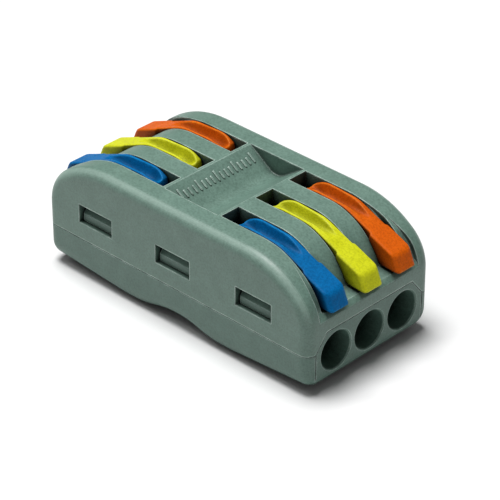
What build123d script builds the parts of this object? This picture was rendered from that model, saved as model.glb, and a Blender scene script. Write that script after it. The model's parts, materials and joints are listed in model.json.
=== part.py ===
from build123d import *
from math import cos, radians, sin, sqrt
import os

# Lever wire connector, three wires in and three out, in millimetres.
# X runs along the wires, Z is up, and the origin is under the middle of the connector on the surface
# that it stands on. Two equal banks of levers face away from each other: front at +X, rear at -X.

# Lanes: one lane a wire, with the same colour in both banks
pitch = 5.3
lanes = {"blue": -pitch, "yellow": 0.0, "orange": pitch}
banks = {"front": 1, "rear": -1}

# Housing and base together
half_length = 20.2
half_width = 9.8
top_height = 14.85
seam_height = 5.15
port_height = 4.3
corner_radius = 1.25
seam_gap = 0.06
parting_width = 0.14

# Nose of the side walls: a wide shoulder arc that runs into a tighter arc down to the end face
shoulder_x = 10.5
shoulder_radius = 12.4
nose_radius = 5.5

# Ridges between the levers, and the ledge over the ports in front of them
ridge_x = 10.4
ridge_radius = 8.0
ledge_back_height = 9.6
ledge_front_height = 9.35
ledge_edge_radius = 0.6

# Room beside the outer levers: the deck ends at the edge of the slots, and widens for the heads
deck_half_width = 6.64
head_room_half_width = 6.9
head_room_start_x = 15.9

# Recess beside the outer levers' tips, which flares out from the edge of the slots
flare_start_x = 13.1
flare_end_x = 18.9
recess_half_width = 7.85
recess_start_x = 15.0
recess_foot = (19.4, 9.5)

# Slots for the levers
slot_width = 2.67
slot_inner_x = 4.46
slot_floor = [(14.5, 11.3), (16.1, 10.6), (18.1, ledge_back_height)]

# Groove across the middle, between the two banks
groove_half_length = 4.1
groove_half_width = 6.75
groove_depth = 2.8
groove_bottom_radius = 2.0

# Snap windows in the side walls, and the catches on the base behind them
window_xs = [-12.22, 0.0, 12.22]
window_width = 5.28
window_bottom = 7.28
window_top = 9.62
catch_width = 4.8
catch_inner_y = 7.45
catch_outer_y = 8.4
catch_lug_y = 9.3
catch_top = 9.75
lug_ramp_height = 8.3
lug_top = 9.5
pocket_margin = 0.15

# Space for the clamps below the deck
lane_width = 4.1
lane_end_x = 14.35
lane_top = 9.35
clamp_bay_x = 9.9
clamp_bay_top = 10.25
core_half_length = 3.3
core_top = 11.1

# Lever pivot
pivot_x = 8.6
pivot_height = 10.9
trunnion_radius = 1.0
trunnion_length = 3.75
bearing_radius = 1.06
bearing_length = 3.9
bearing_mouth = 1.8

# Port block at each end of the base
block_back_x = 14.45
block_top = 7.25
block_top_half_width = 6.8
block_half_width = 8.5
block_shoulder_height = 5.1
block_foot_height = 3.0
port_radius = 2.3
port_length = 4.4
throat_radius = 1.6
port_bevel = 0.15

# Underside of the base: two low humps with a shallow arch between them
hump_inner_x = 6.9
hump_outer_x = 8.3
arch_height = 1.0
end_rise = 0.85
hump_blend_radius = 12.0
bottom_edge_radius = 2.0

# Inside of the base
floor_height = 1.4
stop_x = 8.5
rest_inner_x = 7.3
rest_width = 3.9
pillar_half_length = 1.6
core_floor_height = 2.2
peg_radius = 0.7
peg_height = 7.0

# Bus bars
bar_bottom = 5.8
bar_thickness = 0.8
bar_width = 3.4
bar_neck_x = 12.5
bar_neck_width = 2.5
bar_end_x = 14.2
peg_hole_radius = 0.75

# Cage clamp springs, given by the middle of the strip
spring_thickness = 0.3
spring_width = 3.7
spring_window_width = 2.9
loop_x = 4.2
loop_radius = 0.85
lower_leg_height = bar_bottom + bar_thickness + spring_thickness / 2
upper_leg_height = lower_leg_height + 2 * loop_radius
spring_lower_end_x = 12.1
spring_knee_x = 7.4
spring_front_x = 13.3
spring_shoulder_height = 10.0
spring_bend_radius = 0.5
spring_foot_height = 4.85
spring_crossbar = 0.9
spring_window_top = 9.3

# Levers
arm_width = 2.45
head_width = 2.95
hub_radius = 4.0
cam_radius = 1.8
lever_bend_x = 12.5
lever_bend_height = 14.72
hub_back_angle = 124
cam_back = (5.3, 11.0)
cam_flat_x = 6.9
arm_underside = [(16.2, 10.8), (14.6, 11.5), (12.3, 11.9), (11.2, 11.6)]
head_shoulder = (19.3, 12.05)
tip_x = 20.7
tip_bottom = 9.75
tip_bevel = 0.25
head_start_x = 16.4
head_clearance = 0.15
scoop = [(6.7, 15.2), (6.9, 14.75), (8.3, 14.3), (11.8, 14.15), (14.9, 13.75), (14.9, 15.2)]
scoop_width = 1.35


def bank_plane(side, y=0.0):
    """Upright plane along the connector: its x runs outward from the middle and its y runs up."""
    return Plane(origin=(0, y, 0), x_dir=(side, 0, 0), z_dir=(0, -side, 0))


def polar(centre, radius, angle):
    """Point at an angle in degrees and a radius round a centre."""
    return (centre[0] + radius * cos(radians(angle)), centre[1] + radius * sin(radians(angle)))


# Where the nose arc meets the shoulder arc
shoulder_centre = (shoulder_x, top_height - shoulder_radius)
nose_dx = half_length - nose_radius - shoulder_x
nose_dz = sqrt((shoulder_radius - nose_radius) ** 2 - nose_dx**2)
nose_centre_height = shoulder_centre[1] + nose_dz
blend_scale = shoulder_radius / (shoulder_radius - nose_radius)
nose_blend = (shoulder_x + nose_dx * blend_scale, shoulder_centre[1] + nose_dz * blend_scale)

# Start of the recess beside the levers' tips, on the shoulder arc and tangent to it
recess_rise = sqrt(shoulder_radius**2 - (recess_start_x - shoulder_x) ** 2)
recess_start_height = shoulder_centre[1] + recess_rise
recess_slope = (recess_rise, shoulder_x - recess_start_x)

# Foot of the ridge arc, where it meets the ledge
ridge_centre_height = top_height - ridge_radius
ridge_foot_x = ridge_x + sqrt(ridge_radius**2 - (ledge_back_height - ridge_centre_height) ** 2)

# Foot of the ledge's rounded front edge, on the nose arc
ledge_foot_height = ledge_front_height - ledge_edge_radius
ledge_foot_rise = ledge_foot_height - nose_centre_height
ledge_foot_x = half_length - nose_radius + sqrt(nose_radius**2 - ledge_foot_rise**2)

# Top of the base's band, a small gap below the housing
band_top = seam_height - seam_gap

# Slope of the lever's head, and where its nose and heel end
head_slope = (head_shoulder[0] - lever_bend_x, head_shoulder[1] - lever_bend_height)
head_start_top = lever_bend_height + (head_start_x - lever_bend_x) * head_slope[1] / head_slope[0]
nose_foot = head_shoulder[1] - 1.45
head_rest_radius = ridge_radius + head_clearance
head_rest_rise = sqrt(head_rest_radius**2 - (head_start_x - ridge_x) ** 2)
heel_x = ridge_x + sqrt(head_rest_radius**2 - (tip_bottom - ridge_centre_height) ** 2)

# Space over the ridges and the ledge at the front end, taken out of the housing
with BuildPart() as deck_space:
    # Seen from the side: the ridges round down to the ledge over the ports
    with BuildSketch(Plane.XZ):
        with BuildLine():
            ridge = TangentArc(
                (ridge_x, top_height), (ridge_foot_x, ledge_back_height), tangent=(1, 0)
            )
            ledge = Line(ridge @ 1, (half_length - ledge_edge_radius, ledge_front_height))
            edge_arc = TangentArc(ledge @ 1, (ledge_foot_x, ledge_foot_height), tangent=ledge % 1)
            Polyline(
                edge_arc @ 1,
                (half_length + 1, ledge_foot_height),
                (half_length + 1, top_height + 1),
                (ridge_x, top_height + 1),
                ridge @ 0,
            )
        make_face()
    extrude(amount=half_width, both=True)
    # Seen from above: as wide as the slots, and a little wider beside the heads of the outer levers
    with BuildSketch(Plane.XY):
        with BuildLine():
            Polyline(
                (ridge_x, 0),
                (ridge_x, deck_half_width),
                (flare_start_x, deck_half_width),
                (head_room_start_x, head_room_half_width),
                (half_length + 1, head_room_half_width),
                (half_length + 1, 0),
            )
            mirror(about=Plane.XZ)
        make_face()
    extrude(amount=top_height + 2, mode=Mode.INTERSECT)

# Space beside the tips of the outer levers at the front end, taken out of the housing
with BuildPart() as tip_space:
    # Seen from the side: it leaves the shoulder arc gently and rounds down to the ledge
    with BuildSketch(Plane.XZ):
        with BuildLine():
            recess_arc = TangentArc(
                (recess_start_x, recess_start_height), recess_foot, tangent=recess_slope
            )
            ledge = Line(recess_arc @ 1, (half_length - ledge_edge_radius, ledge_front_height))
            edge_arc = TangentArc(ledge @ 1, (ledge_foot_x, ledge_foot_height), tangent=ledge % 1)
            Polyline(
                edge_arc @ 1,
                (half_length + 1, ledge_foot_height),
                (half_length + 1, top_height + 1),
                (recess_start_x, top_height + 1),
                recess_arc @ 0,
            )
        make_face()
    extrude(amount=half_width, both=True)
    # Seen from above: it flares out from the edge of the slots
    with BuildSketch(Plane.XY):
        with BuildLine():
            Polyline(
                (flare_start_x, 0),
                (flare_start_x, deck_half_width),
                (flare_end_x, recess_half_width),
                (half_length + 1, recess_half_width),
                (half_length + 1, 0),
            )
            mirror(about=Plane.XZ)
        make_face()
    extrude(amount=top_height + 2, mode=Mode.INTERSECT)

with BuildPart() as housing:
    # Outer form: the side profile, as wide as the connector, with its long edges rounded
    with BuildSketch(Plane.XZ):
        with BuildLine():
            end_line = Line((half_length, seam_height), (half_length, nose_centre_height))
            nose = TangentArc(end_line @ 1, nose_blend, tangent=end_line % 1)
            shoulder = TangentArc(nose @ 1, (shoulder_x, top_height), tangent=nose % 1)
            Line(shoulder @ 1, (0, top_height))
            Line((0, seam_height), end_line @ 0)
            mirror(about=Plane.YZ)
        make_face()
    extrude(amount=half_width, both=True)
    long_edges = [
        edge
        for edge in housing.edges()
        if abs(abs(edge.center().Y) - half_width) < 0.01 and edge.center().Z > seam_height + 0.1
    ]
    fillet(long_edges, radius=corner_radius)

    # Space over the ridges and ledges, and the recesses beside the outer levers' tips
    for space in (deck_space, tip_space):
        add(space.part, mode=Mode.SUBTRACT)
        mirror(space.part, about=Plane.YZ, mode=Mode.SUBTRACT)

    # Groove across the middle
    with BuildSketch(Plane.XZ):
        with BuildLine():
            Polyline(
                (-groove_half_length, top_height),
                (0, top_height - groove_depth),
                (groove_half_length, top_height),
                close=True,
            )
        make_face()
        fillet(vertices().sort_by(Axis.Y)[0], radius=groove_bottom_radius)
    extrude(amount=groove_half_width, both=True, mode=Mode.SUBTRACT)

    for lane_y in lanes.values():
        # Clamp space, open below, with a cored deck in the middle
        with BuildSketch(Plane.XZ.offset(-lane_y)):
            with Locations((0, (seam_height + lane_top) / 2)):
                Rectangle(2 * lane_end_x, lane_top - seam_height)
            with Locations((0, (lane_top + core_top) / 2)):
                Rectangle(2 * core_half_length, core_top - lane_top)
            bay_length = lane_end_x - clamp_bay_x
            with Locations(
                *[(side * (clamp_bay_x + bay_length / 2), lane_top) for side in banks.values()]
            ):
                Rectangle(bay_length, 2 * (clamp_bay_top - lane_top))
        extrude(amount=lane_width / 2, both=True, mode=Mode.SUBTRACT)
        for side in banks.values():
            # Slot for the lever, open to the clamp space behind its sloping floor
            with BuildSketch(bank_plane(side, lane_y)):
                with BuildLine():
                    Polyline(
                        (slot_inner_x, lane_top - 1),
                        (slot_floor[0][0], lane_top - 1),
                        *slot_floor,
                        (slot_floor[-1][0], top_height + 1),
                        (slot_inner_x, top_height + 1),
                        close=True,
                    )
                make_face()
            extrude(amount=slot_width / 2, both=True, mode=Mode.SUBTRACT)
            # Bearings for the lever's trunnions, with narrower mouths that they snap through
            with BuildSketch(bank_plane(side, lane_y)):
                with Locations((pivot_x, pivot_height)):
                    Circle(bearing_radius)
                with Locations((pivot_x, (pivot_height + lane_top) / 2)):
                    Rectangle(bearing_mouth, pivot_height - lane_top)
            extrude(amount=bearing_length / 2, both=True, mode=Mode.SUBTRACT)

    # Pockets for the port blocks
    for side in banks.values():
        pocket_length = half_length + 1 - lane_end_x
        with BuildSketch(Plane.YZ.offset(side * (lane_end_x + pocket_length / 2))):
            with BuildLine():
                Polyline(
                    (block_half_width + seam_gap, seam_height - 1),
                    (block_half_width + seam_gap, block_shoulder_height + seam_gap / 2),
                    (block_top_half_width + seam_gap / 2, block_top + seam_gap),
                    (-block_top_half_width - seam_gap / 2, block_top + seam_gap),
                    (-block_half_width - seam_gap, block_shoulder_height + seam_gap / 2),
                    (-block_half_width - seam_gap, seam_height - 1),
                    close=True,
                )
            make_face()
        extrude(amount=pocket_length / 2, both=True, mode=Mode.SUBTRACT)

    # Snap windows, and the pockets behind them for the catches
    pocket_width = catch_width + 1.2
    pocket_top = catch_top + pocket_margin
    pocket_inner_y = pitch + lane_width / 2
    pocket_outer_y = catch_outer_y + pocket_margin
    for wall in (-1, 1):
        with BuildSketch(Plane.XZ.offset(wall * half_width)):
            with Locations(*[(x, (window_bottom + window_top) / 2) for x in window_xs]):
                Rectangle(window_width, window_top - window_bottom)
        extrude(amount=half_width - catch_outer_y, both=True, mode=Mode.SUBTRACT)
        with BuildSketch(Plane.XZ.offset(wall * (pocket_inner_y + pocket_outer_y) / 2)):
            with Locations(*[(x, (seam_height + pocket_top) / 2) for x in window_xs]):
                Rectangle(pocket_width, pocket_top - seam_height)
        extrude(amount=(pocket_outer_y - pocket_inner_y) / 2, both=True, mode=Mode.SUBTRACT)

housing.part.label = "housing"

with BuildPart() as base:
    # Lower band: the wavy underside, as wide as the housing, with its bottom edges rounded
    with BuildSketch(Plane.XZ):
        with BuildLine():
            arch = TangentArc((0, arch_height), (hump_inner_x / 2, arch_height / 2), tangent=(1, 0))
            hump = TangentArc(arch @ 1, (hump_inner_x, 0), tangent=arch % 1)
            Polyline(
                hump @ 1,
                (hump_outer_x, 0),
                (half_length, end_rise),
                (half_length, band_top),
                (0, band_top),
            )
            mirror(about=Plane.YZ)
        make_face()
        hump_corners = [
            corner
            for corner in vertices()
            if abs(corner.Y) < 0.01 and abs(abs(corner.X) - hump_outer_x) < 0.01
        ]
        fillet(hump_corners, radius=hump_blend_radius)
    extrude(amount=half_width, both=True)
    bottom_edges = [
        edge
        for edge in base.edges()
        if abs(abs(edge.center().Y) - half_width) < 0.01 and edge.center().Z < band_top / 2 - 1
    ]
    fillet(bottom_edges, radius=bottom_edge_radius)
    end_edges = [
        edge
        for edge in base.edges()
        if abs(abs(edge.center().X) - half_length) < 0.01 and edge.center().Z < band_top - 0.01
    ]
    fillet(end_edges, radius=corner_radius)

    # Port blocks, rising into the housing's ends
    for side in banks.values():
        block_length = half_length - block_back_x
        with BuildSketch(Plane.YZ.offset(side * (block_back_x + block_length / 2))):
            with BuildLine():
                Polyline(
                    (block_half_width, block_foot_height),
                    (block_half_width, block_shoulder_height),
                    (block_top_half_width, block_top),
                    (-block_top_half_width, block_top),
                    (-block_half_width, block_shoulder_height),
                    (-block_half_width, block_foot_height),
                    close=True,
                )
            make_face()
        extrude(amount=block_length / 2, both=True)
        # Parting grooves below the seam, down both edges of the port face
        with BuildSketch(Plane.YZ.offset(side * half_length)):
            with Locations((block_half_width, band_top / 2), (-block_half_width, band_top / 2)):
                Rectangle(parting_width, band_top)
        extrude(amount=parting_width, both=True, mode=Mode.SUBTRACT)

    # Wire troughs below the bus bars, and lighter cores between the bar supports
    for lane_y in lanes.values():
        for side in banks.values():
            trough_length = block_back_x - stop_x
            with BuildSketch(Plane.XZ.offset(-lane_y)):
                with Locations((side * (stop_x + trough_length / 2), (floor_height + block_top) / 2)):
                    Rectangle(trough_length, block_top - floor_height)
                core_length = rest_inner_x - pillar_half_length
                with Locations(
                    (side * (pillar_half_length + core_length / 2), (core_floor_height + band_top) / 2)
                ):
                    Rectangle(core_length, band_top - core_floor_height)
            extrude(amount=lane_width / 2, both=True, mode=Mode.SUBTRACT)
        # Bar supports: a rest at each wire stop and a pillar in the middle, with its peg
        with BuildSketch(Plane.XZ.offset(-lane_y)):
            rest_length = stop_x - rest_inner_x
            with Locations(
                *[
                    (side * (rest_inner_x + rest_length / 2), (band_top + bar_bottom) / 2)
                    for side in banks.values()
                ]
            ):
                Rectangle(rest_length, bar_bottom - band_top + 0.4)
            with Locations((0, (band_top + bar_bottom) / 2)):
                Rectangle(2 * pillar_half_length, bar_bottom - band_top + 0.4)
        extrude(amount=rest_width / 2, both=True)
        with BuildSketch(Plane.XY.offset(bar_bottom - 0.5)):
            with Locations((0, lane_y)):
                Circle(peg_radius)
        extrude(amount=peg_height - bar_bottom + 0.5)

    # Trim the supports level with the underside of the bars, all but the pegs
    with BuildSketch(Plane.XY.offset(bar_bottom)):
        Rectangle(2 * (stop_x + 1), 2 * (pitch + lane_width / 2))
        with Locations(*[(0, lane_y) for lane_y in lanes.values()]):
            Circle(peg_radius, mode=Mode.SUBTRACT)
    extrude(amount=1.0, mode=Mode.SUBTRACT)

    # Ports: straight bores for the wire's insulation, then throats that guide its bare end
    for lane_y in lanes.values():
        for side in banks.values():
            with BuildSketch(bank_plane(side, lane_y)):
                with BuildLine():
                    Polyline(
                        (block_back_x - 1, port_height),
                        (block_back_x - 1, port_height + throat_radius),
                        (block_back_x, port_height + throat_radius),
                        (half_length - port_length, port_height + port_radius),
                        (half_length - port_bevel, port_height + port_radius),
                        (half_length, port_height + port_radius + port_bevel),
                        (half_length + 1, port_height + port_radius + port_bevel),
                        (half_length + 1, port_height),
                        close=True,
                    )
                make_face()
            revolve(
                axis=Axis((0, lane_y, port_height), (1, 0, 0)),
                revolution_arc=360,
                mode=Mode.SUBTRACT,
            )

    # Snap catches: springy tabs, each with a ramped lug that shows in its window
    for window_x in window_xs:
        with BuildSketch(Plane.YZ.offset(window_x)):
            with BuildLine():
                Polyline(
                    (catch_inner_y, band_top - 0.5),
                    (catch_outer_y, band_top - 0.5),
                    (catch_outer_y, window_bottom + 0.1),
                    (catch_lug_y, window_bottom + 0.1),
                    (catch_lug_y, lug_ramp_height),
                    (catch_outer_y, lug_top),
                    (catch_outer_y, catch_top),
                    (catch_inner_y, catch_top),
                    close=True,
                )
            make_face()
            mirror(about=Plane.YZ)
        extrude(amount=catch_width / 2, both=True)

base.part.label = "base"

os.makedirs("parts", exist_ok=True)
export_step(housing.part, "parts/housing.step")
export_step(base.part, "parts/base.step")

for colour, lane_y in lanes.items():
    # Bus bar: a flat strip from clamp to clamp, necked at both ends to pass through the springs
    with BuildPart() as bus_bar:
        with BuildSketch(Plane.XY.offset(bar_bottom)):
            with Locations((0, lane_y)):
                Rectangle(2 * bar_neck_x, bar_width)
                Rectangle(2 * bar_end_x, bar_neck_width)
                Circle(peg_hole_radius, mode=Mode.SUBTRACT)
        extrude(amount=bar_thickness)
    bus_bar.part.label = f"bus_bar_{colour}"
    export_step(bus_bar.part, f"parts/bus_bar_{colour}.step")

    for bank, side in banks.items():
        lane_plane = bank_plane(side, lane_y)

        # Cage clamp spring: a bent strip, with a window that the bar's neck and the wire go through
        with BuildPart() as spring:
            with BuildSketch(lane_plane):
                with BuildLine():
                    lower = Line((spring_lower_end_x, lower_leg_height), (loop_x, lower_leg_height))
                    loop = TangentArc(lower @ 1, (loop_x, upper_leg_height), tangent=lower % 1)
                    FilletPolyline(
                        loop @ 1,
                        (spring_knee_x, upper_leg_height),
                        (spring_front_x, spring_shoulder_height),
                        (spring_front_x, spring_foot_height),
                        radius=spring_bend_radius,
                    )
                trace(line_width=spring_thickness)
            extrude(amount=spring_width / 2, both=True)
            with BuildSketch(lane_plane):
                window_foot = spring_foot_height + spring_crossbar
                with Locations((spring_front_x, (window_foot + spring_window_top) / 2)):
                    Rectangle(2 * spring_thickness, spring_window_top - window_foot)
            extrude(amount=spring_window_width / 2, both=True, mode=Mode.SUBTRACT)
        spring.part.label = f"spring_{colour}_{bank}"
        export_step(spring.part, f"parts/spring_{colour}_{bank}.step")

        # Lever: hub with trunnions and a cam, thin arm with a thumb scoop, and a wider head
        with BuildPart() as lever:
            pivot = (pivot_x, pivot_height)
            with BuildSketch(lane_plane):
                with BuildLine():
                    hub_top = (pivot_x, pivot_height + hub_radius)
                    hub_back = polar(pivot, hub_radius, hub_back_angle)
                    cam_front = polar(pivot, cam_radius, 0)
                    cam_foot = polar(pivot, cam_radius, -90)
                    Polyline(hub_top, (lever_bend_x, lever_bend_height), head_shoulder)
                    nose = TangentArc(head_shoulder, (tip_x, nose_foot), tangent=head_slope)
                    Polyline(
                        nose @ 1,
                        (tip_x, tip_bottom + tip_bevel),
                        (tip_x - tip_bevel, tip_bottom),
                        (heel_x, tip_bottom),
                        *arm_underside,
                        cam_front,
                    )
                    RadiusArc(cam_front, cam_foot, cam_radius)
                    Polyline(cam_foot, (cam_flat_x, pivot_height - cam_radius), cam_back, hub_back)
                    RadiusArc(hub_back, hub_top, hub_radius)
                make_face()
            extrude(amount=arm_width / 2, both=True)
            # Head: the part of the lever beyond the slot, resting just clear of the ridges
            with BuildSketch(lane_plane):
                with BuildLine():
                    head_foot = (head_start_x, ridge_centre_height + head_rest_rise)
                    Polyline(head_foot, (head_start_x, head_start_top), head_shoulder)
                    nose = TangentArc(head_shoulder, (tip_x, nose_foot), tangent=head_slope)
                    Polyline(
                        nose @ 1,
                        (tip_x, tip_bottom + tip_bevel),
                        (tip_x - tip_bevel, tip_bottom),
                        (heel_x, tip_bottom),
                    )
                    RadiusArc((heel_x, tip_bottom), head_foot, -head_rest_radius)
                make_face()
            extrude(amount=head_width / 2, both=True)
            with BuildSketch(lane_plane):
                with BuildLine():
                    Polyline(*scoop, close=True)
                make_face()
            extrude(amount=scoop_width / 2, both=True, mode=Mode.SUBTRACT)
            with BuildSketch(lane_plane):
                with Locations(pivot):
                    Circle(trunnion_radius)
            extrude(amount=trunnion_length / 2, both=True)
        lever.part.label = f"lever_{colour}_{bank}"
        export_step(lever.part, f"parts/lever_{colour}_{bank}.step")
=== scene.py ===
"""Looks of the lever wire connector: moulded plastics, lever meshes, clamp springs and soft studio light."""
import json
from math import cos, hypot, pi, radians, sin, sqrt

import bmesh
import bpy
import numpy as np
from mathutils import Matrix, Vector


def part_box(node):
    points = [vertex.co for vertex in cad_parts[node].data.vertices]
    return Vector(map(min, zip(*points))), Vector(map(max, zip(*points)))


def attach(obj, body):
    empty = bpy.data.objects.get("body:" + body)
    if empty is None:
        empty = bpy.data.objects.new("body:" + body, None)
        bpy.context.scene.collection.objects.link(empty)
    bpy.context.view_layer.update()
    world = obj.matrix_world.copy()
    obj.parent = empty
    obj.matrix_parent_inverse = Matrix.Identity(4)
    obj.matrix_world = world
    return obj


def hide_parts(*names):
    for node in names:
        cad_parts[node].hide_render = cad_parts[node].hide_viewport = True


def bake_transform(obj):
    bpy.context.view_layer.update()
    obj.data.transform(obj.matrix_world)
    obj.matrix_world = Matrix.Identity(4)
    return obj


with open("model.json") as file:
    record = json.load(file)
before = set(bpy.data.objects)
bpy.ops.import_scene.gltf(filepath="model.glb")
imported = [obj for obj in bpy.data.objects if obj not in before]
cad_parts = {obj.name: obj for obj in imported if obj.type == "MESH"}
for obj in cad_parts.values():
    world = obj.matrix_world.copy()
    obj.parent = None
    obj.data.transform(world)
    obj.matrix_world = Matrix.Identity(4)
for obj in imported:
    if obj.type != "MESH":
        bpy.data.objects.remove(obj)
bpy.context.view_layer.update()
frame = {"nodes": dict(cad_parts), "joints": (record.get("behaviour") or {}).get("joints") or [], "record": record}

MM = 0.001

# ---------------------------------------------------------------- layout, read from the frame

COLOURS = ("blue", "yellow", "orange")
BANKS = {"front": 1, "rear": -1}


def lever_name(colour, bank):
    return f"lever_{colour}_{bank}"


def joint_of(body):
    """The joint that carries a body."""
    return next(joint for joint in frame["joints"] if joint["child"] == body)


def lane_of(colour):
    """The y of a colour's lane, in mm."""
    return joint_of(lever_name(colour, "front"))["pos_m"][1] / MM


PIVOT_X = joint_of("lever_yellow_front")["pos_m"][0] / MM
PIVOT_Z = joint_of("lever_yellow_front")["pos_m"][2] / MM
TIP_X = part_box("lever_yellow_front")[1].x / MM
TOP_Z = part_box("housing")[1].z / MM


# ---------------------------------------------------------------- node materials

def new_material(name):
    material = bpy.data.materials.new(name)
    material.use_nodes = True
    tree = material.node_tree
    shader = tree.nodes["Principled BSDF"]
    return material, tree, shader


def noise(tree, coordinates, scale, detail=3.0, roughness=0.5):
    node = tree.nodes.new("ShaderNodeTexNoise")
    node.inputs["Scale"].default_value = scale
    node.inputs["Detail"].default_value = detail
    node.inputs["Roughness"].default_value = roughness
    tree.links.new(coordinates, node.inputs["Vector"])
    return node


def ramp(tree, value, low, high):
    """A colour ramp from low to high, each (position, colour)."""
    node = tree.nodes.new("ShaderNodeValToRGB")
    for element, (position, colour) in zip(node.color_ramp.elements, (low, high)):
        element.position = position
        element.color = (*colour, 1)
    tree.links.new(value, node.inputs["Fac"])
    return node


def map_range(tree, value, low, high, to_low, to_high):
    node = tree.nodes.new("ShaderNodeMapRange")
    node.inputs["From Min"].default_value = low
    node.inputs["From Max"].default_value = high
    node.inputs["To Min"].default_value = to_low
    node.inputs["To Max"].default_value = to_high
    tree.links.new(value, node.inputs["Value"])
    return node.outputs["Result"]


def bump(tree, shader, height, distance, strength=1.0, previous=None):
    node = tree.nodes.new("ShaderNodeBump")
    node.inputs["Distance"].default_value = distance
    node.inputs["Strength"].default_value = strength
    tree.links.new(height, node.inputs["Height"])
    if previous is not None:
        tree.links.new(previous, node.inputs["Normal"])
    tree.links.new(node.outputs["Normal"], shader.inputs["Normal"])
    return node.outputs["Normal"]


def edge_mask(tree, radius):
    """1 along the edges of the shape and 0 on its faces, and the rounded normal it comes from."""
    bevel = tree.nodes.new("ShaderNodeBevel")
    bevel.samples = 6
    bevel.inputs["Radius"].default_value = radius
    geometry = tree.nodes.new("ShaderNodeNewGeometry")
    dot = tree.nodes.new("ShaderNodeVectorMath")
    dot.operation = "DOT_PRODUCT"
    tree.links.new(bevel.outputs["Normal"], dot.inputs[0])
    tree.links.new(geometry.outputs["Normal"], dot.inputs[1])
    return map_range(tree, dot.outputs["Value"], 0.995, 0.88, 0.0, 1.0), bevel.outputs["Normal"]


def multiply_values(tree, first, second):
    node = tree.nodes.new("ShaderNodeMath")
    node.operation = "MULTIPLY"
    tree.links.new(first, node.inputs[0])
    tree.links.new(second, node.inputs[1])
    return node.outputs["Value"]


def facing(tree):
    """How far a face turns sideways, 0 to 1 either way, and how far it turns up, -1 to 1."""
    geometry = tree.nodes.new("ShaderNodeNewGeometry")
    split = tree.nodes.new("ShaderNodeSeparateXYZ")
    tree.links.new(geometry.outputs["True Normal"], split.inputs["Vector"])
    sideways = tree.nodes.new("ShaderNodeMath")
    sideways.operation = "ABSOLUTE"
    tree.links.new(split.outputs["Y"], sideways.inputs[0])
    return sideways.outputs["Value"], split.outputs["Z"]


def painted_rim_sheen(tree, sideways, upward, strength):
    """Mask of a painted highlight band: strongest where a face leans midway between up and sideways, and 0 on
    level and upright faces.
    """
    rise = map_range(tree, sideways, 0.2, 0.45, 0.0, strength)
    fall = map_range(tree, sideways, 0.7, 0.95, 1.0, 0.0)
    above = map_range(tree, upward, 0.1, 0.4, 0.0, 1.0)
    return multiply_values(tree, multiply_values(tree, rise, fall), above)


def mix(tree, factor, base, colour):
    """Mixes a colour socket towards a plain colour by a factor socket."""
    node = tree.nodes.new("ShaderNodeMix")
    node.data_type = "RGBA"
    tree.links.new(factor, node.inputs["Factor"])
    tree.links.new(base, node.inputs["A"])
    node.inputs["B"].default_value = (*colour, 1)
    return node.outputs["Result"]


def cavity_shade(tree, reach, low, high, darkest):
    """A painted shade: a grey that is white in the open and dark where the shape closes in within a reach."""
    occlusion = tree.nodes.new("ShaderNodeAmbientOcclusion")
    occlusion.samples = 8
    occlusion.inputs["Distance"].default_value = reach
    shade = ramp(tree, occlusion.outputs["AO"], (low, (darkest,) * 3), (high, (1.0, 1.0, 1.0)))
    return shade.outputs["Color"]


def multiply(tree, base, shade, amount):
    """Multiplies a colour socket by a shade socket."""
    node = tree.nodes.new("ShaderNodeMix")
    node.data_type = "RGBA"
    node.blend_type = "MULTIPLY"
    node.inputs["Factor"].default_value = amount
    tree.links.new(base, node.inputs["A"])
    tree.links.new(shade, node.inputs["B"])
    return node.outputs["Result"]


def moulded_plastic(name, dark, light, highlight_colour, roughness, grain, speckle, shine, crease, sides, rim=0.0):
    """Satin moulded nylon: mottled and speckled by the mould's grain, with a painted highlight along its edges and
    painted shade in its hollows and on its upright faces.

    crease is the painted shade of tight hollows, sides the painted shade of upright faces, rim the strength of a
    painted highlight band along the long rounded edges.
    """
    material, tree, shader = new_material(name)
    coordinates = tree.nodes.new("ShaderNodeTexCoord").outputs["Object"]
    mottle = noise(tree, coordinates, 420.0, 5.0, 0.65)
    colour = ramp(tree, mottle.outputs["Fac"], (0.3, dark), (0.7, light))
    fine = noise(tree, coordinates, 4200.0, 3.0, 0.6)
    grains = ramp(tree, fine.outputs["Fac"], (0.3, (0.6, 0.6, 0.6)), (0.6, (1.0, 1.0, 1.0)))
    shade = multiply(tree, colour.outputs["Color"], grains.outputs["Color"], speckle)
    edges, rounded_normal = edge_mask(tree, 0.00026)
    # painted highlight along the edges, its strength broken up by noise
    highlight_noise = noise(tree, coordinates, 900.0, 4.0)
    highlight_patchiness = map_range(tree, highlight_noise.outputs["Fac"], 0.35, 0.6, 0.35, 1.0)
    edged = mix(tree, multiply_values(tree, edges, highlight_patchiness), shade, highlight_colour)
    sideways, upward = facing(tree)
    # painted highlight band along the long rounded edges, where a face leans between up and sideways
    if rim:
        edged = mix(tree, painted_rim_sheen(tree, sideways, upward, rim), edged, highlight_colour)
    # painted shade: upright and downward faces darker than upward ones
    flank_shade = ramp(tree, upward, (0.1, (sides, sides, sides)), (0.7, (1.0, 1.0, 1.0)))
    edged = multiply(tree, edged, flank_shade.outputs["Color"], 1.0)
    # painted shade: darker in tight creases and in deep cavities, by ambient occlusion
    creased = multiply(tree, edged, cavity_shade(tree, 0.0013, 0.5, 0.98, crease), 1.0)
    shaded = multiply(tree, creased, cavity_shade(tree, 0.005, 0.12, 0.38, 0.02), 1.0)
    tree.links.new(shaded, shader.inputs["Base Color"])
    soft = map_range(tree, fine.outputs["Fac"], 0.3, 0.7, roughness - 0.07, roughness + 0.07)
    tree.links.new(soft, shader.inputs["Roughness"])
    flow = noise(tree, coordinates, 160.0, 2.0)
    normal = bump(tree, shader, flow.outputs["Fac"], 0.00012, 0.4, previous=rounded_normal)
    bump(tree, shader, fine.outputs["Fac"], 0.00003, grain, previous=normal)
    shader.inputs["Specular IOR Level"].default_value = shine
    return material


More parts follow.
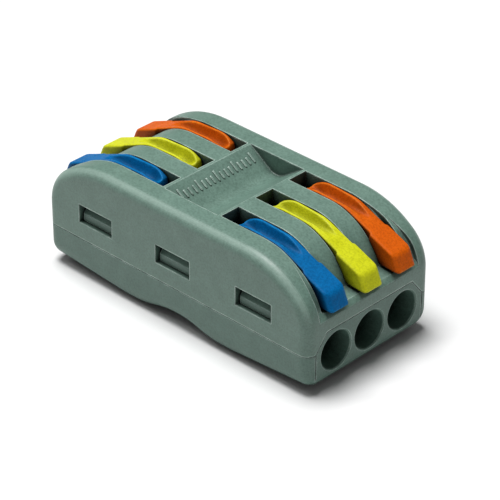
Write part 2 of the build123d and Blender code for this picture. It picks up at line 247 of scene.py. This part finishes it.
def metal(name, dark, light, roughness, stretch):
    """Rolled strip: brushed along its length, with soft stains and painted shade where it sits deep in a hollow.
    """
    material, tree, shader = new_material(name)
    coordinates = tree.nodes.new("ShaderNodeTexCoord").outputs["Object"]
    mapping = tree.nodes.new("ShaderNodeMapping")
    mapping.inputs["Scale"].default_value = stretch
    tree.links.new(coordinates, mapping.inputs["Vector"])
    brush = noise(tree, mapping.outputs["Vector"], 9000.0, 2.0)
    stain = noise(tree, coordinates, 600.0, 3.0)
    colour = ramp(tree, stain.outputs["Fac"], (0.35, dark), (0.7, light))
    # painted shade where the strip sits deep in its slot
    shaded = multiply(tree, colour.outputs["Color"], cavity_shade(tree, 0.005, 0.15, 0.6, 0.06), 1.0)
    tree.links.new(shaded, shader.inputs["Base Color"])
    tree.links.new(
        map_range(tree, brush.outputs["Fac"], 0.3, 0.7, roughness - 0.08, roughness + 0.1),
        shader.inputs["Roughness"],
    )
    bump(tree, shader, brush.outputs["Fac"], 0.00001, 0.3)
    shader.inputs["Metallic"].default_value = 1.0
    return material


# Each moulded plastic's third colour is its painted edge highlight; crease and sides set its painted shade, rim
# its painted highlight band.
MATERIALS = {
    "housing_plastic": moulded_plastic(
        "housing_plastic", (0.133, 0.228, 0.184), (0.166, 0.275, 0.224), (0.6, 0.76, 0.68),
        roughness=0.42, grain=0.8, speckle=0.7, shine=0.45, crease=0.5, sides=0.86, rim=0.2,
    ),
    "base_plastic": moulded_plastic(
        "base_plastic", (0.11, 0.195, 0.158), (0.139, 0.237, 0.193), (0.5, 0.65, 0.58),
        roughness=0.45, grain=0.8, speckle=0.7, shine=0.4, crease=0.55, sides=0.86,
    ),
    "lever_blue": moulded_plastic(
        "lever_blue", (0.0, 0.132, 0.375), (0.0, 0.163, 0.45), (0.0, 0.29, 0.68),
        roughness=0.5, grain=1.0, speckle=0.8, shine=0.1, crease=0.12, sides=0.84,
    ),
    "lever_yellow": moulded_plastic(
        "lever_yellow", (0.6, 0.63, 0.008), (0.74, 0.77, 0.02), (0.92, 0.96, 0.13),
        roughness=0.5, grain=1.0, speckle=0.6, shine=0.1, crease=0.15, sides=0.8,
    ),
    "lever_orange": moulded_plastic(
        "lever_orange", (0.66, 0.105, 0.002), (0.79, 0.135, 0.003), (0.95, 0.3, 0.02),
        roughness=0.5, grain=1.0, speckle=0.7, shine=0.1, crease=0.08, sides=0.78,
    ),
    "copper": metal("tinned_copper", (0.52, 0.47, 0.42), (0.66, 0.62, 0.57), 0.32, (0.06, 1, 1)),
    "spring_steel": metal("spring_steel", (0.36, 0.36, 0.37), (0.46, 0.46, 0.47), 0.48, (0.06, 1, 1)),
}
for entry in frame["record"]["subparts"]:
    node = frame["nodes"][entry["node"]]
    node.data.materials.clear()
    node.data.materials.append(MATERIALS[entry["material_slot"]])


# ---------------------------------------------------------------- mesh helpers

def finish_piece(name, builder, slot, smooth_angle=32.0):
    """Turns a bmesh into an object with smooth shading up to an angle, in its slot's material."""
    bmesh.ops.recalc_face_normals(builder, faces=builder.faces)
    mesh = bpy.data.meshes.new(name)
    builder.to_mesh(mesh)
    builder.free()
    mesh.materials.append(MATERIALS[slot])
    piece = bpy.data.objects.new(name, mesh)
    bpy.context.scene.collection.objects.link(piece)
    mesh.shade_smooth()
    mesh.set_sharp_from_angle(angle=radians(smooth_angle))
    return piece


def loft(builder, rings):
    """Skins closed rings of points, all with the same count, and caps both ends."""
    made = [[builder.verts.new(point) for point in ring] for ring in rings]
    count = len(rings[0])
    for before, after in zip(made, made[1:]):
        for index in range(count):
            following = (index + 1) % count
            builder.faces.new((before[index], before[following], after[following], after[index]))
    builder.faces.new(list(reversed(made[0])))
    builder.faces.new(made[-1])


# ---------------------------------------------------------------- levers

ARM_HALF = 2.45 / 2
HEAD_HALF = 2.95 / 2
EDGE_ROUND = 0.16
HUB_RADIUS = 4.0
CAM_RADIUS = 1.8
BEND = (12.5, 14.72)
SHOULDER = (19.3, 12.05)
RIDGE_CENTRE = np.array((10.4, TOP_Z - 8.0))
HEAD_REST_RADIUS = 8.12
HEAD_START_X = 16.3
HEAD_STEP_LENGTH = 0.35
HEAD_EXTRA_ROUND = 0.06
STATIONS = 150
TRUNNION_RADIUS = 1.0
TRUNNION_HALF = 3.7 / 2
SCOOP_START = 6.3
SCOOP_END = 14.9
SCOOP_DEPTH = 1.1
SCOOP_HALF = 0.9
NOSE_TOP = (19.9, 11.66)
NOSE_FOOT_Z = 9.8
NOSE_ROUND = 0.5


def on_circle(centre, radius, angle):
    """The point on a circle at an angle in degrees."""
    a = radians(angle)
    return (centre[0] + radius * cos(a), centre[1] + radius * sin(a))


def arc(centre, radius, start, end, steps):
    """Points on an arc, by angles in degrees."""
    return [on_circle(centre, radius, start + (end - start) * step / steps) for step in range(steps + 1)]


def corner(before, at, after, radius, steps=8):
    """A corner of a polyline, rounded to a radius."""
    a, p, b = (np.array(point, float) for point in (before, at, after))
    u, v = (a - p) / np.linalg.norm(a - p), (b - p) / np.linalg.norm(b - p)
    half = np.arccos(np.clip(u @ v, -1, 1)) / 2
    reach = radius / np.tan(half)
    centre = p + (u + v) / np.linalg.norm(u + v) * radius / np.sin(half)
    start, end = p + u * reach - centre, p + v * reach - centre
    turn = np.arctan2(start[0] * end[1] - start[1] * end[0], start @ end)
    points = []
    for step in range(steps + 1):
        a = turn * step / steps
        points.append(
            (
                centre[0] + start[0] * cos(a) - start[1] * sin(a),
                centre[1] + start[0] * sin(a) + start[1] * cos(a),
            )
        )
    return points


def rounded(points, radii):
    """A polyline with its inner corners rounded."""
    result = [points[0]]
    for index, radius in enumerate(radii, start=1):
        result += corner(points[index - 1], points[index], points[index + 1], radius)
    return result + [points[-1]]


def evenly(points, count):
    """A polyline resampled to a count of points along its length."""
    line = np.array(points, float)
    steps = np.hypot(*np.diff(line, axis=0).T)
    along = np.concatenate(([0], np.cumsum(steps)))
    at = np.linspace(0, along[-1], count)
    return np.stack([np.interp(at, along, line[:, k]) for k in range(2)], axis=1)


def lever_outline():
    """The lever's upper and lower side lines, from the back of its hub to its tip, in mm."""
    back = (5.3, 11.0)
    hub_back = on_circle((PIVOT_X, PIVOT_Z), HUB_RADIUS, 124)
    upper = rounded([(5.34, 11.1), hub_back, (6.9, 14.72)], [0.4])
    upper = upper[:-1] + arc((PIVOT_X, PIVOT_Z), HUB_RADIUS, 112, 91, 6)
    nose = rounded([BEND, NOSE_TOP, (TIP_X, NOSE_FOOT_Z)], [1.1])
    upper += rounded([upper[-1], BEND, SHOULDER], [5.0])[1:-1] + nose[1:]
    lower = rounded([back, (6.9, 9.1), (PIVOT_X, PIVOT_Z - CAM_RADIUS)], [0.8])
    lower += arc((PIVOT_X, PIVOT_Z), CAM_RADIUS, -90, 0, 8)[1:-1]
    lower += rounded(
        [(PIVOT_X + CAM_RADIUS, PIVOT_Z), (11.2, 11.6), (12.3, 11.9), (14.6, 11.5), (16.2, 10.8),
         (18.15, 9.76), (20.4, 9.72), (TIP_X, 9.76)],
        [0.3, 1.2, 3.0, 3.0, 0.5, 0.15],
    )
    return evenly(upper, STATIONS), evenly(lower, STATIONS)


def scoop_depth(x, y):
    """Depth of the thumb scoop below the arm's top: a channel that narrows to a point at its outer end."""
    opening = np.clip((x - SCOOP_START) / 1.5, 0, 1) * np.clip((SCOOP_END - x) / 4.5, 0, 1)
    reach = sin(opening * pi / 2)
    half = SCOOP_HALF * (0.45 + 0.55 * reach)
    across = np.clip(1 - (abs(y) / half) ** 3.2, 0, 1)
    return SCOOP_DEPTH * reach * across


def nose_inset(x, z):
    """How far the head's sides draw in towards its front face, which rounds the front corners."""
    slope = (TIP_X - NOSE_TOP[0]) / (NOSE_TOP[1] - NOSE_FOOT_Z)
    behind = NOSE_TOP[0] + slope * (NOSE_TOP[1] - z) - x
    within = NOSE_ROUND - np.clip(behind, 0, NOSE_ROUND)
    return NOSE_ROUND - sqrt(NOSE_ROUND**2 - within**2)


def lever_ring(top, foot, side, lane_y):
    """One closed ring round the lever: rounded top edges, a step to the wider head, rounded bottom edges."""
    reach = hypot(*(top - foot))
    down = (foot - top) / reach
    head = np.clip((top[0] - HEAD_START_X) / HEAD_STEP_LENGTH, 0, 1)
    half = ARM_HALF + (HEAD_HALF - ARM_HALF) * (3 * head**2 - 2 * head**3)
    edge = min(EDGE_ROUND + HEAD_EXTRA_ROUND * head, 0.45 * reach)
    past_ridge = hypot(*(foot - RIDGE_CENTRE)) > HEAD_REST_RADIUS
    step = reach - edge
    if not past_ridge:
        from_centre = top - RIDGE_CENTRE
        along = from_centre @ down
        meets = along**2 - from_centre @ from_centre + HEAD_REST_RADIUS**2
        step = np.clip(-along - sqrt(max(0.0, meets)), edge, reach - edge)
    half_ring = []
    for j in range(17):
        y = (half - edge) * j / 16
        half_ring.append((y, scoop_depth(top[0], y)))
    for j in range(1, 7):
        a = pi / 2 * j / 6
        half_ring.append((half - edge + edge * sin(a), edge - edge * cos(a)))
    lower_half = half if past_ridge else ARM_HALF
    half_ring += [(half, edge + (step - edge) * t / 8) for t in range(1, 9)]
    half_ring.append((lower_half, step + 0.02))
    half_ring += [(lower_half, step + (reach - edge - step) * t) for t in (0.35, 0.7, 1.0)]
    for j in range(1, 5):
        a = pi / 2 * j / 4
        half_ring.append((lower_half - edge + edge * cos(a), reach - edge + edge * sin(a)))
    half_ring.append((0, reach))
    full = half_ring + [(-y, d) for y, d in reversed(half_ring[1:-1])]
    points = []
    for y, depth in full:
        x, z = top + down * depth
        y *= 1 - nose_inset(x, z) / HEAD_HALF
        points.append((side * x * MM, (lane_y + y) * MM, z * MM))
    return points


def cylinder(builder, centre, radius, half_length, bevel, segments=40):
    """A pin along Y with bevelled ends."""
    rings = []
    for y, r in ((-half_length, radius - bevel), (-half_length + bevel, radius),
                 (half_length - bevel, radius), (half_length, radius - bevel)):
        rings.append(
            [
                (
                    (centre[0] + r * cos(2 * pi * k / segments)) * MM,
                    (centre[1] + y) * MM,
                    (centre[2] + r * sin(2 * pi * k / segments)) * MM,
                )
                for k in range(segments)
            ]
        )
    loft(builder, rings)


def union(piece, other):
    """Joins another closed object into a piece and deletes it."""
    modifier = piece.modifiers.new("union", "BOOLEAN")
    modifier.operation = "UNION"
    modifier.solver = "EXACT"
    modifier.object = other
    bpy.context.view_layer.update()
    depsgraph = bpy.context.evaluated_depsgraph_get()
    joined = bpy.data.meshes.new_from_object(piece.evaluated_get(depsgraph))
    piece.modifiers.clear()
    old = piece.data
    piece.data = joined
    bpy.data.meshes.remove(old)
    bpy.data.objects.remove(other)
    joined.shade_smooth()
    joined.set_sharp_from_angle(angle=radians(32))


def make_lever(colour, bank):
    side = BANKS[bank]
    lane_y = lane_of(colour)
    upper, lower = lever_outline()
    rings = [lever_ring(top, foot, side, lane_y) for top, foot in zip(upper, lower)]
    builder = bmesh.new()
    loft(builder, rings)
    name = lever_name(colour, bank)
    piece = finish_piece(name + "_moulding", builder, f"lever_{colour}")
    pins = bmesh.new()
    cylinder(pins, (side * PIVOT_X, lane_y, PIVOT_Z), TRUNNION_RADIUS, TRUNNION_HALF, 0.15)
    union(piece, finish_piece(name + "_trunnions", pins, f"lever_{colour}"))
    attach(piece, name)
    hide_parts(name)


for bank in BANKS:
    for colour in COLOURS:
        make_lever(colour, bank)


# ---------------------------------------------------------------- clamp springs

STRIP = 0.28
STRIP_HALF_WIDTH = 3.7 / 2
LOOP_X = joint_of("clamp_yellow_front")["pos_m"][0] / MM
LOOP_Z = joint_of("clamp_yellow_front")["pos_m"][2] / MM
LOOP_RADIUS = 0.85
LEG_END_X = 12.1
KNEE = (7.4, LOOP_Z + LOOP_RADIUS)
SHOULDER_POINT = (13.3, 10.0)
HOOK_TOP_Z = 9.62
HOOK_FOOT_Z = 4.85
WINDOW_TOP_Z = HOOK_TOP_Z - 0.04
CROSSBAR = 0.9
WINDOW_HALF = 2.9 / 2


def strip_ring(line, index, side, lane_y, half_width):
    """Rectangle across a strip at one point of its centre line."""
    before = np.array(line[max(index - 1, 0)])
    after = np.array(line[min(index + 1, len(line) - 1)])
    along = (after - before) / np.linalg.norm(after - before)
    across = np.array((-along[1], along[0])) * STRIP / 2
    ring = []
    corners = ((across, -half_width), (across, half_width), (-across, half_width), (-across, -half_width))
    for offset, y in corners:
        x, z = np.array(line[index]) + offset
        ring.append((side * x * MM, (lane_y + y) * MM, z * MM))
    return ring


def make_leaf(colour, bank):
    """Lower leg, loop and upper leg, up to the top of the hook."""
    side, lane_y = BANKS[bank], lane_of(colour)
    line = [(x, LOOP_Z - LOOP_RADIUS) for x in np.linspace(LEG_END_X, LOOP_X, 9)]
    line += arc((LOOP_X, LOOP_Z), LOOP_RADIUS, 270, 90, 24)[1:]
    line += rounded(
        [(LOOP_X + 0.1, KNEE[1]), KNEE, SHOULDER_POINT, (SHOULDER_POINT[0], HOOK_TOP_Z)], [1.0, 0.28]
    )
    builder = bmesh.new()
    loft(builder, [strip_ring(line, k, side, lane_y, STRIP_HALF_WIDTH) for k in range(len(line))])
    piece = finish_piece(f"leaf_{colour}_{bank}", builder, "spring_steel", 25)
    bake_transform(piece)
    return piece


def make_hook(colour, bank):
    """The leg with the window, which pulls the wire up against the bus bar."""
    side, lane_y = BANKS[bank], lane_of(colour)
    x = SHOULDER_POINT[0]
    builder = bmesh.new()
    outline = [(-STRIP_HALF_WIDTH, HOOK_TOP_Z), (STRIP_HALF_WIDTH, HOOK_TOP_Z),
               (STRIP_HALF_WIDTH, HOOK_FOOT_Z), (-STRIP_HALF_WIDTH, HOOK_FOOT_Z)]
    window = [(-WINDOW_HALF, WINDOW_TOP_Z), (WINDOW_HALF, WINDOW_TOP_Z),
              (WINDOW_HALF, HOOK_FOOT_Z + CROSSBAR), (-WINDOW_HALF, HOOK_FOOT_Z + CROSSBAR)]
    layers = []
    for depth in (-STRIP / 2, STRIP / 2):
        layers.append(
            [[builder.verts.new((side * (x + depth) * MM, (lane_y + y) * MM, z * MM)) for y, z in loop]
             for loop in (outline, window)]
        )
    for k in range(4):
        n = (k + 1) % 4
        for outer, inner in layers:
            builder.faces.new((outer[k], outer[n], inner[n], inner[k]))
        for loop in (0, 1):
            back, front = layers[0][loop], layers[1][loop]
            builder.faces.new((back[k], back[n], front[n], front[k]))
    piece = finish_piece(f"hook_{colour}_{bank}", builder, "spring_steel", 25)
    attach(piece, f"clamp_{colour}_{bank}")
    return piece


for bank in BANKS:
    for colour in COLOURS:
        leaf = make_leaf(colour, bank)
        hook = make_hook(colour, bank)
        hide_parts(f"spring_{colour}_{bank}")
        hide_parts(f"spring_{colour}_{bank}")


# ---------------------------------------------------------------- raised marks in the groove

GROOVE_HALF = 4.1
GROOVE_DEPTH = 2.8
MARK_HEIGHT = 0.12
MARK_HALF_WIDTH = 0.14
MARK_COUNT = 17
MARK_PITCH = 0.7
MARK_FOOT = 2.25
TALL_MARK_EVERY = 4
TALL_MARK_TOP = 0.75
SHORT_MARK_TOP = 1.15


def slope_point(along, y, lift):
    """A point on the groove's rear slope: a distance down from its rim, a y, and a lift off the surface."""
    length = hypot(GROOVE_HALF, GROOVE_DEPTH)
    down = (GROOVE_HALF / length, -GROOVE_DEPTH / length)
    normal = (GROOVE_DEPTH / length, GROOVE_HALF / length)
    x = -GROOVE_HALF + down[0] * along + normal[0] * lift
    z = TOP_Z + down[1] * along + normal[1] * lift
    return (x * MM, y * MM, z * MM)


def add_mark(builder, y, start, end, half_width):
    """A raised bar with rounded ends and sloping flanks, down the slope from start to end."""
    def outline(inset, lift):
        half = half_width - inset
        ends = [(start + half_width, 180, 360), (end - half_width, 0, 180)]
        points = []
        for centre, first, last in ends:
            for k in range(9):
                a = radians(first + (last - first) * k / 8)
                points.append(slope_point(centre + half * sin(a), y - half * cos(a), lift))
        return points
    loft(builder, [outline(-0.03, -0.05), outline(0.0, 0.0), outline(0.04, MARK_HEIGHT)])


def make_marks():
    """A plain scale: a row of raised bars across the slope, every fourth one tall."""
    builder = bmesh.new()
    for k in range(MARK_COUNT):
        y = MARK_PITCH * (k - (MARK_COUNT - 1) / 2)
        top = TALL_MARK_TOP if k % TALL_MARK_EVERY == 0 else SHORT_MARK_TOP
        add_mark(builder, y, top, MARK_FOOT, MARK_HALF_WIDTH)
    piece = finish_piece("groove_scale", builder, "housing_plastic", 40)
    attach(piece, "root")


make_marks()


# ---------------------------------------------------------------- floor, light and camera

AZIMUTH = 44.0
ELEVATION = 32.15
DISTANCE = 0.2867
TARGET = Vector((0.0032, -0.0009, 0.0074))
LENS = 187.0


def direction(azimuth, elevation):
    a, e = radians(azimuth), radians(elevation)
    return Vector((sin(a) * cos(e), -cos(a) * cos(e), sin(e)))


def add_area(name, azimuth, elevation, distance, size, power):
    light = bpy.data.lights.new(name, "AREA")
    light.shape = "DISK"
    light.size = size
    light.energy = power
    lamp = bpy.data.objects.new(name, light)
    lamp.location = TARGET + direction(azimuth, elevation) * distance
    lamp.rotation_euler = direction(azimuth, elevation).to_track_quat("Z", "Y").to_euler()
    bpy.context.scene.collection.objects.link(lamp)


def make_floor():
    builder = bmesh.new()
    bmesh.ops.create_grid(builder, x_segments=4, y_segments=4, size=1.5)
    mesh = bpy.data.meshes.new("floor")
    builder.to_mesh(mesh)
    builder.free()
    material, tree, shader = new_material("floor_paper")
    coordinates = tree.nodes.new("ShaderNodeTexCoord").outputs["Object"]
    shade = noise(tree, coordinates, 40.0, 2.0)
    colour = ramp(tree, shade.outputs["Fac"], (0.3, (0.9, 0.9, 0.9)), (0.7, (0.92, 0.92, 0.92)))
    tree.links.new(colour.outputs["Color"], shader.inputs["Base Color"])
    shader.inputs["Roughness"].default_value = 0.8
    mesh.materials.append(material)
    floor = bpy.data.objects.new("floor", mesh)
    bpy.context.scene.collection.objects.link(floor)


make_floor()
world = bpy.data.worlds.new("studio")
bpy.context.scene.world = world
world.use_nodes = True
world.node_tree.nodes["Background"].inputs["Color"].default_value = (1, 1, 1, 1)
world.node_tree.nodes["Background"].inputs["Strength"].default_value = 0.12
add_area("key", -75, 80, 0.45, 0.24, 2.3)
add_area("rim", -55, 42, 0.5, 0.14, 0.1)
add_area("sheen", -30, 62, 0.5, 0.08, 0.12)

camera_data = bpy.data.cameras.new("camera")
camera_data.lens = LENS
camera_data.sensor_width = 36.0
camera = bpy.data.objects.new("camera", camera_data)
camera.location = TARGET + direction(AZIMUTH, ELEVATION) * DISTANCE
camera.rotation_euler = direction(AZIMUTH, ELEVATION).to_track_quat("Z", "Y").to_euler()
bpy.context.scene.collection.objects.link(camera)
bpy.context.scene.camera = camera
bpy.context.scene.view_settings.view_transform = "Standard"
